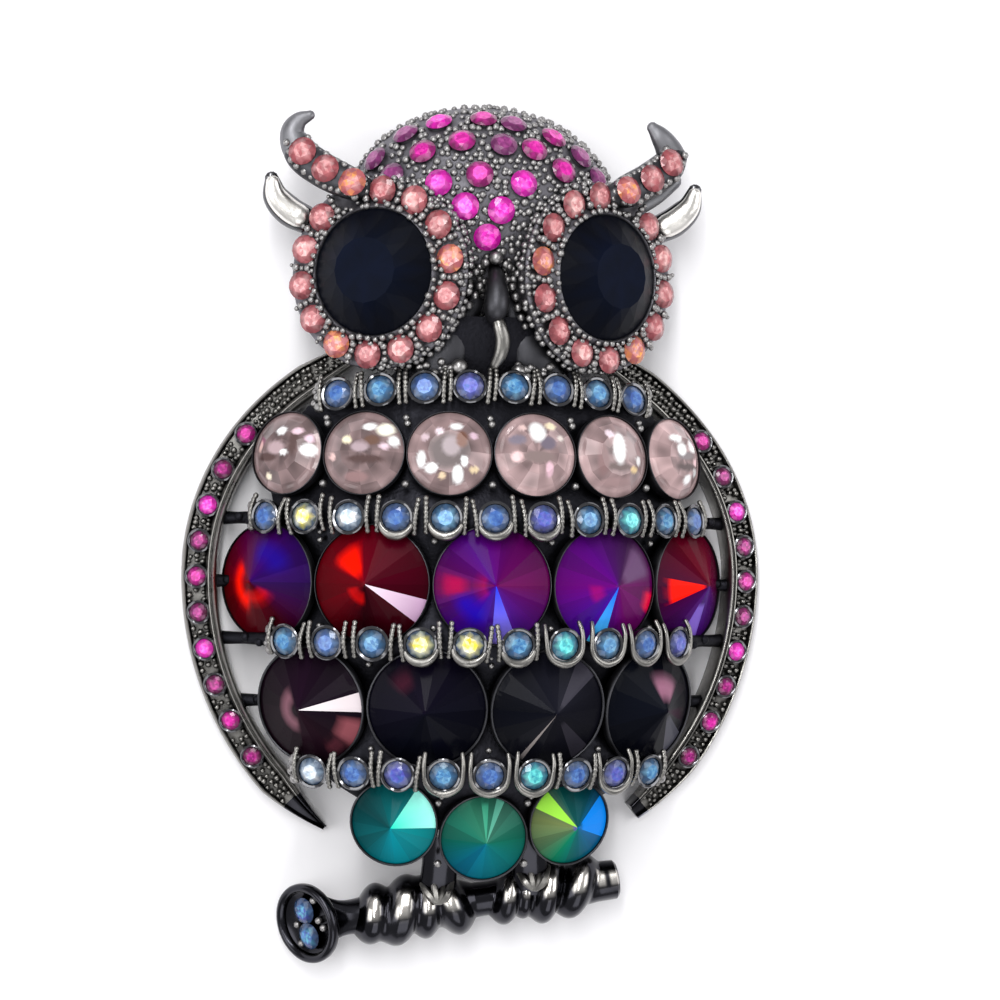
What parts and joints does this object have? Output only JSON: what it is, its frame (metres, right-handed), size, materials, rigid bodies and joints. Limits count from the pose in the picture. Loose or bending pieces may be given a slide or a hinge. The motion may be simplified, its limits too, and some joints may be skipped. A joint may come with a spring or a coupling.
{
  "type": "owl brooch",
  "caption": "Figural owl brooch: a domed gunmetal casting set with cut glass stones in rows, round eyes, horned brows and a branch perch, with a straight pin behind.",
  "frame": {"origin": "middle of the brooch's outline, in the plane of the rims' flat backs, on which it lies", "axes": "+X to the wearer's left as one looks at the front, +Y from the branch to the crown, +Z out of the front"},
  "size_m": [0.0502, 0.0736, 0.0142],
  "materials": {
    "gunmetal": "blackened bright plating over a zinc casting",
    "pin_steel": "plain drawn steel",
    "black_glass": "faceted black glass",
    "clear_glass": "foiled clear glass with a faint pink",
    "red_glass": "foiled crimson glass that turns violet",
    "purple_glass": "foiled dark purple glass",
    "teal_glass": "foiled teal glass with lime and blue",
    "blue_glass": "opalescent blue glass",
    "magenta_glass": "foiled magenta glass",
    "peach_glass": "foiled rose peach glass with an orange glint"
  },
  "bodies": {
    "root": {"casting": "gunmetal", "bar_pin": "pin_steel", "eye_left": "black_glass", "eye_right": "black_glass", "clear_1": "clear_glass", "clear_2": "clear_glass", "clear_3": "clear_glass", "clear_4": "clear_glass", "clear_5": "clear_glass", "clear_6": "clear_glass", "red_1": "red_glass", "red_2": "red_glass", "red_3": "red_glass", "red_4": "red_glass", "red_5": "red_glass", "purple_1": "purple_glass", "purple_2": "purple_glass", "purple_3": "purple_glass", "purple_4": "purple_glass", "teal_1": "teal_glass", "teal_2": "teal_glass", "teal_3": "teal_glass", "blue_row_1": "blue_glass", "blue_row_2": "blue_glass", "blue_row_3": "blue_glass", "blue_row_4": "blue_glass", "crown_stones": "magenta_glass", "brow_stones_left": "peach_glass", "brow_stones_right": "peach_glass", "rim_stones_left": "magenta_glass", "rim_stones_right": "magenta_glass", "perch_stones": "blue_glass"}
  },
  "joints": []
}
